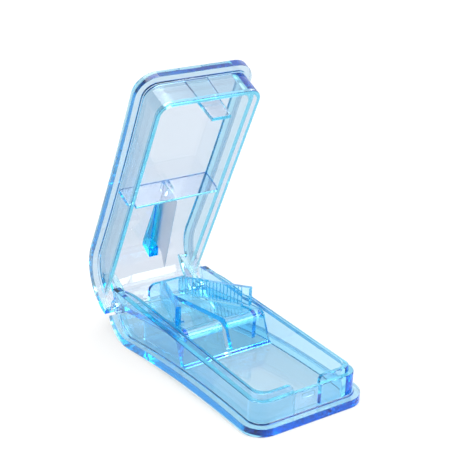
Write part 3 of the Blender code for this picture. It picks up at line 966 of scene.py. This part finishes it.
@dataclass
class Studio:
    """Pale floor, graded surroundings, soft lamps and the camera."""

    azimuth: float = math.radians(-33.36)
    elevation: float = math.radians(19.743)
    roll: float = math.radians(-0.575)
    target: Vector = field(default_factory=lambda: Vector((0.0, -0.026056, 0.042780)))
    distance: float = 0.31626
    lens: float = 90.67
    card_glow: float = 0.60
    front_light: float = 0.55
    overhead: float = 5.0
    backdrop: float = 1.02
    fade_span: Pair = (-0.5, 0.3)
    softbox_edge: Pair = (0.82, 0.88)
    floor_half: float = 2500.0
    bounces: int = 32

    def floor(self) -> None:
        """Broad matt sheet on the table plane, mid-grey with a glow of its own."""
        material, tree = empty_material("white_card")
        place = add_node(tree, "ShaderNodeTexCoord").outputs["Object"]
        # Card has a faint fibre tooth.
        tooth = add_node(tree, "ShaderNodeTexNoise", {"Scale": 1 / (0.6 * MM)}, {"Vector": place})
        relief = add_node(tree, "ShaderNodeBump", {"Strength": 0.05, "Distance": 0.02 * MM},
                          {"Height": tooth.outputs["Fac"]})
        # The glow keeps the sheet pale where the tinted plastic shades it.
        shader = add_node(tree, "ShaderNodeBsdfPrincipled",
                          {"Base Color": linear("7C7C7C"), "Roughness": 0.9,
                           "Emission Color": linear("FFFFFF"), "Emission Strength": self.card_glow},
                          {"Normal": relief.outputs["Normal"]})
        add_node(tree, "ShaderNodeOutputMaterial", {}, {"Surface": shader.outputs["BSDF"]})
        span = (-self.floor_half, self.floor_half)
        sheet = Solid.block("floor_card", span, span, (-3.0, -0.05)).item
        sheet.data.materials.append(material)

    def light(self) -> None:
        """White surroundings, darker in front, with a softbox overhead and three soft lamps."""
        scene = bpy.context.scene
        world = bpy.data.worlds.new("white_tent")
        scene.world = world
        world.use_nodes = True
        tree = world.node_tree
        tree.nodes.clear()
        direction = add_node(tree, "ShaderNodeTexCoord").outputs["Generated"]
        away = add_node(tree, "ShaderNodeVectorMath", {"operation": "DOT_PRODUCT"}, {0: direction})
        away.inputs[1].default_value = (-math.sin(self.azimuth), math.cos(self.azimuth), 0.0)
        # Bright backdrop and a darker room in front, so the edges of the clear parts read as dark lines.
        fade = add_node(tree, "ShaderNodeMapRange",
                        {"interpolation_type": "SMOOTHSTEP", "From Min": self.fade_span[0],
                         "From Max": self.fade_span[1], "To Min": self.front_light, "To Max": self.backdrop},
                        {"Value": away.outputs["Value"]})
        height = add_node(tree, "ShaderNodeSeparateXYZ", {}, {"Vector": direction})
        # A large softbox overhead lays white streaks on the rounds.
        soft_box = add_node(tree, "ShaderNodeMapRange",
                            {"interpolation_type": "SMOOTHSTEP", "From Min": self.softbox_edge[0],
                             "From Max": self.softbox_edge[1], "To Max": self.overhead},
                            {"Value": height.outputs["Z"]})
        both = add_node(tree, "ShaderNodeMath", {"operation": "ADD"},
                        {0: fade.outputs["Result"], 1: soft_box.outputs["Result"]})
        glow = add_node(tree, "ShaderNodeBackground", {"Color": (1.0, 1.0, 1.0, 1.0)},
                        {"Strength": both.outputs["Value"]})
        add_node(tree, "ShaderNodeOutputWorld", {}, {"Surface": glow.outputs["Background"]})
        lamps = (("key", (-0.35, -0.25, 0.55), 0.35, 0.9), ("fill", (0.5, 0.2, 0.5), 0.5, 0.6),
                 ("strip", (0.233, -0.285, 0.26), 0.14, 0.36))
        for name, place, size, power in lamps:
            lamp = bpy.data.lights.new(name, "AREA")
            lamp.size = size
            lamp.energy = power
            item = bpy.data.objects.new(name, lamp)
            item.location = place
            aim = Vector((0.0, 0.0, 0.03)) - Vector(place)
            item.rotation_euler = aim.to_track_quat("-Z", "Y").to_euler()
            bpy.context.collection.objects.link(item)

    def camera(self) -> None:
        """Camera at the viewing angle, with everything in focus."""
        data = bpy.data.cameras.new("camera")
        data.lens = self.lens
        data.sensor_width = 36.0
        data.clip_start = 0.01
        item = bpy.data.objects.new("camera", data)
        bpy.context.collection.objects.link(item)
        level = math.cos(self.elevation)
        back = Vector((math.sin(self.azimuth) * level, -math.cos(self.azimuth) * level,
                       math.sin(self.elevation)))
        item.location = self.target + back * self.distance
        aim = (-back).to_track_quat("-Z", "Y").to_matrix().to_4x4()
        item.rotation_euler = (aim @ Matrix.Rotation(self.roll, 4, "Z")).to_euler()
        bpy.context.scene.camera = item

    def look(self) -> None:
        """Plain colour handling and enough bounces for light to pass both shells."""
        scene = bpy.context.scene
        scene.view_settings.view_transform = "Standard"
        scene.cycles.use_denoising = True
        scene.cycles.max_bounces = self.bounces
        scene.cycles.transmission_bounces = self.bounces
        scene.cycles.glossy_bounces = self.bounces
        scene.cycles.transparent_max_bounces = 16
        scene.cycles.caustics_refractive = True
        scene.cycles.caustics_reflective = False


def main() -> None:
    """Build the pill splitter and its studio."""
    logging.basicConfig(level=logging.INFO, format="%(message)s")
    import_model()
    form = CaseForm()
    studio = Studio()
    studio.camera()
    studio.floor()
    studio.light()
    studio.look()
    BaseShell(form).build(ClearPlastic("base_clear_polystyrene"))
    seat = PillSeat(form)
    seat.build(ClearPlastic("seat_clear_polystyrene", "EDF7FF", (0.24, 0.036, 0.003)))
    for side in Side:
        fence_plastic = ClearPlastic("fence_clear_polystyrene", "EDF7FF", (0.22, 0.033, 0.003))
        Fence(form, seat, side).build(fence_plastic)
    LidShell(form).build(ClearPlastic("lid_clear_polystyrene", surface="E9DFE8"))
    unit = BladeUnit(form, seat)
    unit.blade(GroundSteel("ground_stainless_strip"))
    unit.clamp(ClearPlastic("clamp_clear_polystyrene", depth_loss=(1.2, 0.06, 0.004)))


if __name__ == "__main__":
    main()
